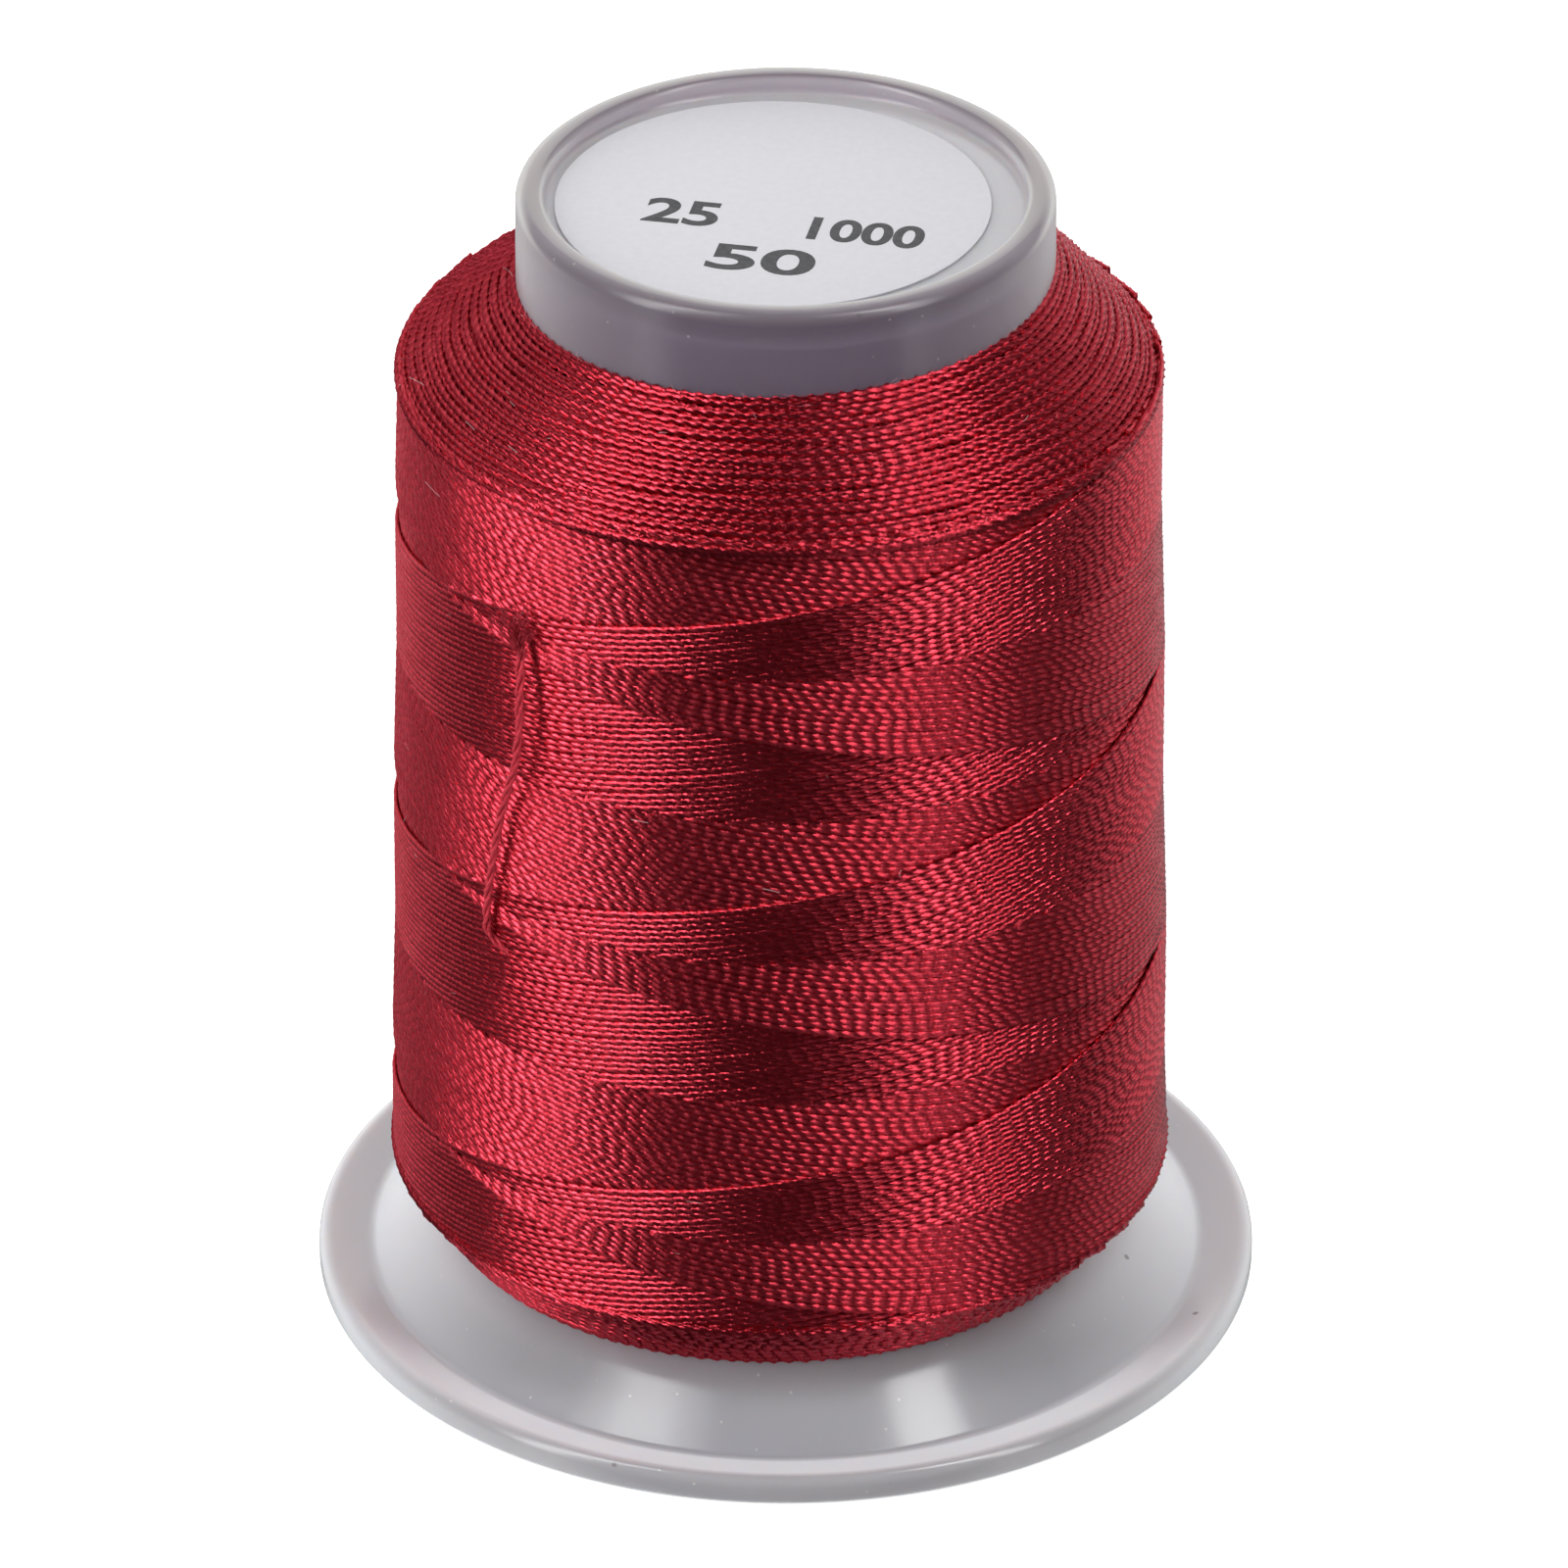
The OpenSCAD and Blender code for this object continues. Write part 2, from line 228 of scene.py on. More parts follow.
# Pairs named "over" are the range that a colour comes in over: of noise, of how far the eye looks
# along the surface, or of height or radius in metres. A bump is its strength and its depth in
# metres. A kind of speck is its share of the cells, its cells in a metre, its strength and colour.
plasticFinish = {"flange": (0.42, 0.42, 0.45, 1), "flangeThin": (0.46, 0.46, 0.485, 1),
                 # The flange's edge colour is a painted sheen: the flange painted paler where the eye looks
                 # along it
                 "flangeOver": (0.35, 0.65), "flangePaintedSheen": (0.90, 0.92, 0.96, 1),
                 # The barrel's wall and lip tones are painted darker than the flange's plastic, a painted
                 # shade of the hollow; its recess colour is a painted light
                 "flangePaintedSheenOver": (0.2, 0.72), "wall": (0.25, 0.20, 0.275, 1), "wallPaler": 1.15,
                 # The wall's edge colour is a painted sheen: the wall painted paler where the eye looks
                 # along it
                 "wallPaintedSheen": (0.76, 0.71, 0.75, 1), "wallPaintedSheenOver": (0.16, 0.75),
                 # The lip's edge colour is a painted glow: the lip painted paler where the eye looks along
                 # it
                 "lip": (0.31, 0.265, 0.315, 1), "lipPaintedGlow": (0.95, 0.93, 0.90, 1),
                 "lipPaintedGlowOver": (0.47, 0.6), "lipOver": (0.06285, 0.06325),
                 "recess": (0.90, 0.88, 0.91, 1), "recessOver": (0.01245, 0.0121),
                 "noiseOver": (0.3, 0.7), "flowScale": 60.0, "grainScale": 2600.0,
                 "roughness": 0.14, "wallRoughness": 0.34, "smoother": 0.02, "rougher": 0.03,
                 "clear": 0.5, "coat": 0.5, "coatRoughness": 0.22, "scatter": 0.6,
                 "scatterRadius": (1.3, 1.0, 0.8), "scatterScale": 0.0015, "bending": 1.49,
                 "flowBump": (0.12, 0.0002), "grainBump": (0.02, 0.00002),
                 "specks": [(0.34, 1200.0, 0.7, (0.72, 0.7, 0.66, 1)),
                            (0.05, 560.0, 0.6, (0.13, 0.11, 0.11, 1))]}


def flangeColourWithPaintedSheen(tree, flow, along):
    look = plasticFinish
    colour = mixColour(tree, spread(tree, flow, *look["flangeOver"]), look["flange"], look["flangeThin"])
    # Painted sheen: the flange painted paler where the eye looks along it
    return mixColour(tree, spread(tree, along, *look["flangePaintedSheenOver"]), colour, look["flangePaintedSheen"])


def barrelColourWithPaintedLight(tree, place, flow, along):
    look = plasticFinish
    x, y, z = splitPlace(tree, place)
    # The wall's tones, painted darker than the flange's: a painted shade of the hollow
    colour = mixColour(tree, spread(tree, flow, *look["noiseOver"]), look["wall"],
                       shaded(look["wall"], look["wallPaler"]))
    # Painted sheen: the wall painted paler where the eye looks along it
    colour = mixColour(tree, spread(tree, along, *look["wallPaintedSheenOver"]), colour, look["wallPaintedSheen"])
    # Painted glow: the lip painted paler where the eye looks along it
    lip = mixColour(tree, spread(tree, along, *look["lipPaintedGlowOver"]), look["lip"], look["lipPaintedGlow"])
    # The lip's tones, also painted darker than the flange's, take over at its height
    colour = mixColour(tree, spread(tree, z, *look["lipOver"]), colour, lip)
    # Painted light: the recess floor round the label is painted pale
    paintedLightShare = spread(tree, fromAxis(tree, x, y), *look["recessOver"])
    return mixColour(tree, paintedLightShare, colour, look["recess"])


# Milky plastic. Over the hollow its colour is painted darker, a painted shade of the hollow, with a painted
# light on the recess floor. It is painted paler where the eye looks along it through more plastic, a painted
# sheen.
def plasticMaterial(name, hollow):
    material, tree, shader = startMaterial(name)
    look = plasticFinish
    place = objectPlace(tree)
    flow = speckle(tree, place, look["flowScale"], 2.0)
    grain = speckle(tree, place, look["grainScale"], 3.0)
    along = addNode(tree, "ShaderNodeLayerWeight", {"Blend": 0.5}).outputs["Facing"]
    colour = barrelColourWithPaintedLight(tree, place, flow, along) if hollow else flangeColourWithPaintedSheen(tree, flow, along)
    for amount, size, strength, speckColour in look["specks"]:
        mask = placeGroup(tree, dust, Amount=amount, Size=size).outputs["Mask"]
        colour = mixColour(tree, doMath(tree, "MULTIPLY", mask, strength), colour, speckColour)
    rough = look["wallRoughness" if hollow else "roughness"]
    waves = addBump(tree, flow, *look["flowBump"])
    setInputs(tree, shader, {
        "Base Color": colour,
        "Roughness": spread(tree, grain, *look["noiseOver"], rough - look["smoother"],
                            rough + look["rougher"]),
        "Subsurface Weight": look["scatter"], "Subsurface Radius": look["scatterRadius"],
        "Subsurface Scale": look["scatterScale"], "IOR": look["bending"],
        "Normal": addBump(tree, grain, *look["grainBump"], waves)})
    if hollow:
        setInputs(tree, shader, {"Transmission Weight": look["clear"], "Coat Weight": look["coat"],
                                 "Coat Roughness": look["coatRoughness"]})
    return material


# Plain finishes of two mottled colours, with their range of noise. A bump is as above.
mottledFinish = {
    "pale loose fibre": {"scale": 300.0, "detail": 2.0, "over": (0.4, 0.6), "low": (0.62, 0.12, 0.16, 1),
                         "high": (0.78, 0.62, 0.62, 1), "roughness": 0.45},
    "label paper": {"scale": 2200.0, "detail": 4.0, "over": (0.3, 0.7), "low": (0.68, 0.675, 0.71, 1),
                    "high": (0.71, 0.705, 0.74, 1), "roughness": 0.45, "bump": (0.15, 0.00003)},
    "grey print": {"scale": 3000.0, "detail": 3.0, "over": (0.35, 0.75), "low": (0.035, 0.035, 0.04, 1),
                   "high": (0.075, 0.075, 0.085, 1), "roughness": 0.5}}


def mottledMaterial(name):
    material, tree, shader = startMaterial(name)
    look = mottledFinish[name]
    mottle = speckle(tree, objectPlace(tree), look["scale"], look["detail"])
    setInputs(tree, shader, {
        "Base Color": mixColour(tree, spread(tree, mottle, *look["over"]), look["low"], look["high"]),
        "Roughness": look["roughness"]})
    if "bump" in look:
        setInputs(tree, shader, {"Normal": addBump(tree, mottle, *look["bump"])})
    return material


plastic = plasticMaterial("milky plastic", False)
shadePaintedPlastic = plasticMaterial("milky plastic painted darker over the hollow", True)
crimson, climbingCrimson, openCrimson, shadedCoreCrimson, looseCrimson = [
    threadMaterial(name, *kind) for name, kind in threadFinish["kinds"].items()]
paper = mottledMaterial("label paper")
paleFibre = mottledMaterial("pale loose fibre")
ink = mottledMaterial("grey print")
print("materials made")


# Every finished piece: smooth faces, one finish, the body it rides on and the solid it replaces
def finishPiece(piece, material, slotName, *nodes):
    piece.data.materials.clear()
    piece.data.materials.append(material)
    piece.data.shade_smooth()
    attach(piece, "root")
    if nodes:
        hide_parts(*nodes)
    return piece


def linkPiece(name, data):
    piece = bpy.data.objects.new(name, data)
    scene.collection.objects.link(piece)
    return piece


def meshPiece(name, shape):
    mesh = bpy.data.meshes.new(name)
    shape.to_mesh(mesh)
    shape.free()
    return linkPiece(name, mesh)


# A turned piece: its outline in mm as (radius, height, round), spun a full turn about the axis
turning = {"steps": 180, "arcSteps": 6, "weld": 1e-7}


def turnedPiece(name, outline, steps=turning["steps"]):
    shape = bmesh.new()
    corners = [shape.verts.new((r * mm, 0, z * mm)) for r, z, _ in outline]
    for i, corner in enumerate(corners):
        shape.edges.new((corner, corners[(i + 1) % len(corners)]))
    for corner, (_, _, rounding) in zip(corners, outline):
        if rounding > 0:
            a, b = [e.other_vert(corner).co - corner.co for e in corner.link_edges]
            reach = rounding * mm / math.tan(a.angle(b) / 2)
            bmesh.ops.bevel(shape, geom=[corner], offset=reach, offset_type="OFFSET", affect="VERTICES",
                            segments=turning["arcSteps"], profile=0.5, material=-1)
    bmesh.ops.spin(shape, geom=shape.verts[:] + shape.edges[:], cent=(0, 0, 0), axis=(0, 0, 1),
                   angle=math.tau, steps=steps, use_merge=True)
    bmesh.ops.remove_doubles(shape, verts=shape.verts[:], dist=turning["weld"])
    bmesh.ops.recalc_face_normals(shape, faces=shape.faces[:])
    return meshPiece(name, shape)


# The moulded spool. Radii, heights and the rounds of its edges in mm, as the solids have them.
spool = {"flangeR": 24.75, "rimH": 1.7, "creaseR": 21.95, "creaseH": 0.9, "wall": 1.4, "seatH": 7.6,
         "footR": 14.0, "topR": 13.7, "height": 63.5, "barrelWall": 1.4, "lipR": 12.28, "topZ": 62.55,
         "topUnderZ": 61.25, "collarR": 6.33, "collarH": 3.0, "spigotR": 12.54, "spigotTopZ": 11.6,
         "spigotWall": 1.2, "hubR": 6.33, "hubBoreR": 5.13, "hubTopZ": 11.6, "hubFootZ": 0.6,
         "webUnderZ": 6.2, "sleeveR": 5.1, "boreR": 4.0, "sleeveSteps": 96,
         "usualRound": 0.25, "fineRound": 0.1, "footRound": 0.15, "rimRound": 0.6, "webRound": 0.4,
         "lipRound": 0.6, "recessRound": 0.3, "sleeveFootRound": 0.2, "sleeveTopRound": 0.05}
dishTan = (spool["seatH"] - spool["creaseH"]) / (spool["creaseR"] - spool["footR"])
dishDrop = spool["wall"] / math.cos(math.atan(dishTan))


def barrelRadius(z):
    share = (spool["height"] - z) / (spool["height"] - spool["seatH"])
    return spool["topR"] + (spool["footR"] - spool["topR"]) * share


def underRadius(z):
    return spool["creaseR"] - (z + dishDrop - spool["creaseH"]) / dishTan


def makeFlange(size):
    usual, fine = size["usualRound"], size["fineRound"]
    spigotInR = size["spigotR"] - size["spigotWall"]
    piece = turnedPiece("flange", [
        (underRadius(0), 0, size["footRound"]), (size["flangeR"], 0, usual),
        (size["flangeR"], size["rimH"], size["rimRound"]),
        (size["creaseR"], size["creaseH"], size["rimRound"]),
        (size["footR"], size["seatH"], fine), (size["spigotR"], size["seatH"], 0),
        (size["spigotR"], size["spigotTopZ"], usual), (spigotInR, size["spigotTopZ"], usual),
        (spigotInR, size["seatH"], usual), (size["hubR"], size["seatH"], usual),
        (size["hubR"], size["hubTopZ"], usual), (size["hubBoreR"], size["hubTopZ"], fine),
        (size["hubBoreR"], size["hubFootZ"], fine), (size["hubR"], size["hubFootZ"], usual),
        (size["hubR"], size["webUnderZ"], usual),
        (underRadius(size["webUnderZ"]), size["webUnderZ"], size["webRound"])])
    finishPiece(piece, plastic, "spool_plastic", "base_flange")


def makeBarrel(size):
    usual, fine = size["usualRound"], size["fineRound"]
    under, collarZ = size["topUnderZ"], size["topUnderZ"] - size["collarH"]
    piece = turnedPiece("barrel", [
        (size["footR"], size["seatH"], fine), (size["topR"], size["height"], size["lipRound"]),
        (size["lipR"], size["height"], size["recessRound"]),
        (size["lipR"], size["topZ"], size["recessRound"]),
        (size["boreR"], size["topZ"], fine), (size["boreR"], under, 0), (size["hubBoreR"], under, 0),
        (size["hubBoreR"], collarZ, fine), (size["collarR"], collarZ, usual),
        (size["collarR"], under, usual), (barrelRadius(under) - size["barrelWall"], under, usual),
        (size["footR"] - size["barrelWall"], size["seatH"], fine)])
    finishPiece(piece, shadePaintedPlastic, "spool_plastic", "spool_barrel")


def makeSleeve(size):
    foot, top = size["hubFootZ"], size["topUnderZ"]
    piece = turnedPiece("pin_tube", [
        (size["sleeveR"], foot, size["sleeveFootRound"]), (size["sleeveR"], top, size["sleeveTopRound"]),
        (size["boreR"], top, size["sleeveTopRound"]), (size["boreR"], foot, size["sleeveFootRound"])],
        steps=size["sleeveSteps"])
    finishPiece(piece, plastic, "spool_plastic", "pin_sleeve")


makeFlange(spool)
makeBarrel(spool)
makeSleeve(spool)
print("spool made")

# The label: a thin paper disc, a little off centre, with plain numerals. Lengths in mm.
labelSet = {"radius": 11.08, "thick": 0.12, "shift": -0.65, "steps": 160, "edge": 0.03, "edgeSteps": 2}


def makeLabel():
    thick = labelSet["thick"] * mm
    shape = bmesh.new()
    bmesh.ops.create_circle(shape, cap_ends=True, segments=labelSet["steps"], radius=labelSet["radius"] * mm)
    top = bmesh.ops.extrude_face_region(shape, geom=shape.faces[:])
    up = [v for v in top["geom"] if isinstance(v, bmesh.types.BMVert)]
    bmesh.ops.translate(shape, verts=up, vec=(0, 0, thick))
    bmesh.ops.recalc_face_normals(shape, faces=shape.faces[:])
    rim = [e for e in shape.edges if all(v.co.z > 0.5 * thick for v in e.verts)]
    bmesh.ops.bevel(shape, geom=rim, offset=labelSet["edge"] * mm, affect="EDGES",
                    segments=labelSet["edgeSteps"], profile=0.5, material=-1)
    bmesh.ops.translate(shape, verts=shape.verts[:], vec=(labelSet["shift"] * mm, 0, spool["topZ"] * mm))
    finishPiece(meshPiece("label", shape), paper, "label_paper", "paper_label")


# Plain numerals, printed askew. Each is its words, height in mm, width share and middle in mm.
printSet = {"turn": -11.5, "thick": 0.006, "fat": 0.09, "fontScale": 1.4, "curveSteps": 6,
            "numerals": {"left_numerals": ("25", 2.5, 1.15, (-5.2, -1.2)),
                         "right_numerals": ("1000", 2.3, 1.0, (3.8, -3.4)),
                         "middle_numerals": ("50", 2.6, 1.55, (-1.3, -6.3))}}


# A curve becomes a mesh of the same name, and the curve goes
def meshFromCurve(drawn):
    name = drawn.name
    mesh = bpy.data.meshes.new_from_object(drawn.evaluated_get(bpy.context.evaluated_depsgraph_get()))
    mesh.name = name
    bpy.data.objects.remove(drawn)
    return mesh


def printNumerals(name, words, height, wide, middle):
    curve = bpy.data.curves.new(name, "FONT")
    curve.body = words
    curve.size = height * printSet["fontScale"]
    curve.align_x = "CENTER"
    curve.align_y = "CENTER"
    curve.offset = printSet["fat"]
    curve.extrude = printSet["thick"] / 2
    curve.resolution_u = printSet["curveSteps"]
    mesh = meshFromCurve(linkPiece(name, curve))
    top = spool["topZ"] + labelSet["thick"] + printSet["thick"] / 2
    mesh.transform(Matrix.Scale(mm, 4) @ Matrix.Translation((middle[0], middle[1], top))
                   @ Matrix.Rotation(math.radians(printSet["turn"]), 4, "Z")
                   @ Matrix.Diagonal((wide, 1, 1, 1)))
    finishPiece(linkPiece(name, mesh), ink, "label_paper", "paper_label")
    mesh.shade_flat()


makeLabel()
for name, numeral in printSet["numerals"].items():
    printNumerals(name, *numeral)
print("label made")

# The thread package. Radii, heights and lengths in mm. Two families of thread cross: one climbs
# to the right and one falls to the right, each of "laps" threads with a height of "lead" in a turn,
# more or less by the share "sway". Where they cross, the newer one is on top. The newest threads
# pass the front at "riseZ" and "fallZ". The oldest lie deeper by "layer", and a thread that the
# other family covers lies deeper by "under". It goes on below for "margin" threads and comes up
# over "liftOver" threads. Threads are laid for "reach" turns to each side of the front. A waver is
# its size, longest wave and shortest wave.
package = {"thread": 0.35, "topZ": 58.8, "topR": 13.73, "shoulderZ": 53.4, "shoulderR": 19.65,
           "footZ": 7.5, "footR": 20.55, "lowZ": 4.29, "lowR": 18.0, "lead": 16.46, "laps": 48,
           "riseZ": 33.2, "fallZ": 25.8, "sway": 0.35, "layer": 0.25, "under": 0.29, "ringGap": 0.25,
           "plyPitch": 2.4, "lobe": 0.24, "valley": 0.19, "openValley": 0.14, "press": 0.52,
           "margin": 1.9, "liftOver": 0.9, "reach": 2.6, "meanR": 20.1, "past": 0.3, "fewest": 6,
           "parts": 3, "aside": 0.3, "asideOver": (14, 18), "topRise": (0.3, 0.5), "lowLean": 0.15,
           "lowRise": 0.84, "twistWaver": (0.35, 16, 4), "heightWaver": (0.04, 60, 4),
           "radiusWaver": (0.012, 20, 2), "waves": 5, "leastWave": 0.4}
rng = np.random.RandomState(7)


def bodyRadius(z):
    share = (z - package["footZ"]) / (package["shoulderZ"] - package["footZ"])
    return package["footR"] + (package["shoulderR"] - package["footR"]) * share


def roundAxis(radius, angle, z):
    return np.column_stack([radius * np.sin(angle), -radius * np.cos(angle), z])


# The package sits a little to the left of the barrel, and is wound a little higher on the right.
# Its lower cone leans, and climbs as the dish under it does.
def settle(points):
    x, y, z = points.T
    radius = np.hypot(x, y)
    side = x / radius
    high = np.clip((z - package["shoulderZ"]) / (package["topZ"] - package["shoulderZ"]), 0, 1)
    low = np.clip((package["footZ"] - z) / (package["footZ"] - package["lowZ"]), 0, 1)
    inward = 1 - package["lowLean"] * low * side / radius
    level, tilt = package["topRise"]
    z = z + high * (level + tilt * side) + package["lowRise"] * package["lowLean"] * low * side
    start, end = package["asideOver"]
    x = x * inward - package["aside"] * np.clip((radius - start) / (end - start), 0, 1)
    return np.column_stack([x, y * inward, z])


def swayTurn(p):
    return p + package["sway"] * np.sin(math.tau * p) / math.tau


# Smooth unevenness: a few waves of random phase along a thread
def waver(t, size, longest, shortest):
    waves = np.zeros_like(t)
    count = package["waves"]
    for k in range(count):
        length = longest * (shortest / longest) ** (k / (count - 1))
        wave = np.sin(t * math.tau / length + rng.uniform(0, math.tau))
        waves += wave * rng.uniform(package["leastWave"], 1)
    return waves * size / math.sqrt(count)


def smooth(t):
    t = np.clip(t, 0, 1)
    return t * t * (3 - 2 * t)


def runAlong(points):
    return np.concatenate([[0], np.cumsum(np.linalg.norm(np.diff(points, axis=0), axis=1))])


# The cross-section of a three-ply thread: its points stand on a ply and between two by turns
sectionPoints = 6


def trefoil(valley, scale):
    curve = bpy.data.curves.new("three plies", "CURVE")
    spline = curve.splines.new("POLY")
    spline.points.add(sectionPoints - 1)
    for k, point in enumerate(spline.points):
        r = (package["lobe"] if k % 2 == 0 else valley) * mm
        turn = k * math.tau / sectionPoints
        point.co = (r * math.cos(turn), r * math.sin(turn), 0, 1)
    spline.use_cyclic_u = True
    curve.transform(Matrix.Scale(scale, 4))
    return linkPiece("three plies", curve)


# Turns that lie on each other are pressed a little flat, one ring of points at a time
def pressFlat(mesh, press):
    places = np.empty(len(mesh.vertices) * 3, np.float32)
    mesh.vertices.foreach_get("co", places)
    rings = places.reshape(-1, sectionPoints, 3)
    middles = rings.mean(axis=1, keepdims=True)
    outward = middles * (1, 1, 0)
    outward /= np.linalg.norm(outward, axis=2, keepdims=True)
    height = ((rings - middles) * outward).sum(axis=2, keepdims=True)
    mesh.vertices.foreach_set("co", (rings - (1 - press) * height * outward).astype(np.float32).ravel())


# A mesh swept with that section along many open paths
def sweepThreads(name, paths, material, node, scale=1.0, press=1.0, valley=package["valley"]):
    section = trefoil(valley, scale)
    curve = bpy.data.curves.new(name, "CURVE")
    curve.dimensions = "3D"
    curve.twist_mode = "Z_UP"
    curve.bevel_mode = "OBJECT"
    curve.bevel_object = section
    curve.use_fill_caps = True
    for points in map(settle, paths):
        run = runAlong(points)
        twist = run * math.tau / package["plyPitch"] + rng.uniform(0, math.tau)
        twist = twist + waver(run, *package["twistWaver"])
        spline = curve.splines.new("POLY")
        spline.points.add(len(points) - 1)
        flat = np.column_stack([points * mm, np.ones(len(points))])
        spline.points.foreach_set("co", flat.astype(np.float32).ravel())
        spline.points.foreach_set("tilt", twist.astype(np.float32))
    mesh = meshFromCurve(linkPiece(name, curve))
    if press < 1:
        pressFlat(mesh, press)
    crowns = 1.0 - np.arange(len(mesh.vertices)) % 2
    mesh.attributes.new("ply", "FLOAT", "POINT").data.foreach_set("value", crowns.astype(np.float32))
    bpy.data.objects.remove(section)
    return finishPiece(linkPiece(name, mesh), material, "thread", node)


# Ages run from 0, just laid, to 1, laid a full pattern ago
def ages(p, z):
    turned = package["lead"] * swayTurn(p)
    rise = np.mod((package["riseZ"] + turned - z) / package["lead"], 1)
    fall = np.mod((z + turned - package["fallZ"]) / package["lead"], 1)
    return rise, fall


def familyPaths(climb):
    paths = []
    lead, laps = package["lead"], package["laps"]
    low, high = package["footZ"] - package["past"], package["shoulderZ"] + package["past"]
    step = package["ringGap"] / (math.tau * package["meanR"])
    for k in range(laps):
        own = (k + 0.5) / laps
        p = np.arange(-package["reach"], package["reach"], step)
        if climb:
            z = package["riseZ"] + lead * (swayTurn(p) - own)
        else:
            z = package["fallZ"] - lead * (swayTurn(p) - own)
        p = p + step * rng.uniform(0, 1)
        rise, fall = ages(p, z)
        other = fall if climb else rise
        above = np.minimum(other - own, 1 - other)
        below = np.minimum(own - other, other)
        depth = np.where(other > own, above, -below) * laps
        shown = (z > low) & (z < high) & (depth > -package["margin"])
        lift = smooth((depth + package["liftOver"]) / package["liftOver"])
        surface = bodyRadius(z) - package["thread"] / 2
        top = surface - package["layer"] * own
        hidden = np.minimum(top, surface - package["layer"] * other - package["under"])
        radius = hidden + (top - hidden) * lift
        along = p * math.tau * package["meanR"]
        z = z + waver(along, *package["heightWaver"])
        radius = radius + waver(along, *package["radiusWaver"])
        points = roundAxis(radius, p * math.tau, z)
        ends = np.flatnonzero(np.diff(np.concatenate([[0], shown.astype(int), [0]])))
        paths += [points[a:b] for a, b in zip(ends[::2], ends[1::2]) if b - a > package["fewest"]]
    return paths


# Paths in groups of about as many points, one piece for each group
def inParts(paths, parts):
    total = sum(len(path) for path in paths)
    groups, count = [[]], 0
    for path in paths:
        if count > total / parts * len(groups):
            groups.append([])
        groups[-1].append(path)
        count += len(path)
    return groups


for family, climb in (("climbing_turns", True), ("falling_turns", False)):
    for number, group in enumerate(inParts(familyPaths(climb), package["parts"]), 1):
        piece = sweepThreads(f"{family}_{number}", group, climbingCrimson if climb else crimson,
                             "outer_winding", press=package["press"])
        print(piece.name, len(piece.data.polygons), "faces")

# Shoulders: near-level turns on the two cones, with older turns showing between them. A layer is
# the gap between its turns, how deep it lies, its unevenness and the share of a gap it starts at.
shoulderSet = {
    "topOut": 0.12, "topDown": 0.1, "moreTurns": 2, "clear": 0.05, "waves": (70, 5),
    "depthWaver": (0.02, 30, 3), "pieces": {
        "upper_shoulder_turns": {"upper": True, "scale": 1.28, "press": 0.8,
                                 "layers": [(0.6, 0.05, 0.05, 0), (0.6, 0.14, 0.1, 0.5)]},
        "older_shoulder_turns": {"upper": True, "scale": 1.2, "press": 1.0,
                                 "layers": [(0.55, 0.26, 0.2, 0.3)]},
        "lower_shoulder_turns": {"upper": False, "scale": 1.1, "press": 0.8,
                                 "layers": [(0.7, 0.03, 0.1, 0), (0.65, 0.12, 0.14, 0.5),
                                            (0.8, 0.22, 0.14, 0.3)]}}}


# The start and the end of a cone's slope, as (radius, height)
def coneEnds(upper):
    if upper:
        return ((package["topR"] + shoulderSet["topOut"], package["topZ"] - shoulderSet["topDown"]),
                (package["shoulderR"], package["shoulderZ"]))
    return (package["footR"], package["footZ"]), (package["lowR"], package["lowZ"])


# The first and last turns close on themselves, and the thread starts and ends at the back
def coneTurns(start, end, gap, sink, wave, shift):
    start, end = np.array(start), np.array(end)
    length = np.linalg.norm(end - start)
    slope = (end - start) / length
    normal = np.array([-slope[1], slope[0]])
    if normal[0] < 0:
        normal = -normal
    turns = round(length / gap)
    around = math.tau * (start[0] + end[0]) / 2
    t = np.arange(0, turns + shoulderSet["moreTurns"], package["ringGap"] / around)
    down = (t + shift - 1) * length / turns + waver(t * around, wave, *shoulderSet["waves"])
    down = np.clip(down, shoulderSet["clear"], length - shoulderSet["clear"])
    inward = package["thread"] / 2 + sink + waver(t * around, *shoulderSet["depthWaver"])
    flat = start + slope * down[:, None] - normal * inward[:, None]
    return roundAxis(flat[:, 0], t * math.tau + math.pi, flat[:, 1])


def makeShoulders():
    shoulders = shoulderSet["pieces"]
    turns = {name: [coneTurns(*coneEnds(shoulder["upper"]), *layer) for layer in shoulder["layers"]]
             for name, shoulder in shoulders.items()}
    for name, shoulder in shoulders.items():
        # The shoulder turns are painted darker than the body's turns, a painted shade
        sweepThreads(name, turns[name], openCrimson, "outer_winding", shoulder["scale"],
                     shoulder["press"], package["openValley"])


makeShoulders()

# The older layers underneath, seen only through the gaps between the turns. Its corners stand off
# the package's own by (radius, height), with a round, in mm. The seat is its corner at the barrel.
coreSet = {"corners": {"top": (0.05, -0.35, 0), "shoulder": (-0.525, -0.2, 0.3),
                       "foot": (-0.63, 0.1, 0.3), "low": (-0.45, 0.45, 0)},
           "seat": (14.1, 7.8, 0), "steps": 192}


def makeCore():
    outline = [(package[place + "R"] + out, package[place + "Z"] + up, rounding)
               for place, (out, up, rounding) in coreSet["corners"].items()]
    core = turnedPiece("wound_core", outline + [coreSet["seat"]], steps=coreSet["steps"])
    places = np.array([v.co for v in core.data.vertices])
    core.data.vertices.foreach_set("co", (settle(places / mm) * mm).astype(np.float32).ravel())
    # The core is painted darker than the turns, a painted shade in the gaps between them
    finishPiece(core, shadedCoreCrimson, "thread", "thread_core")


makeCore()
print("thread made")

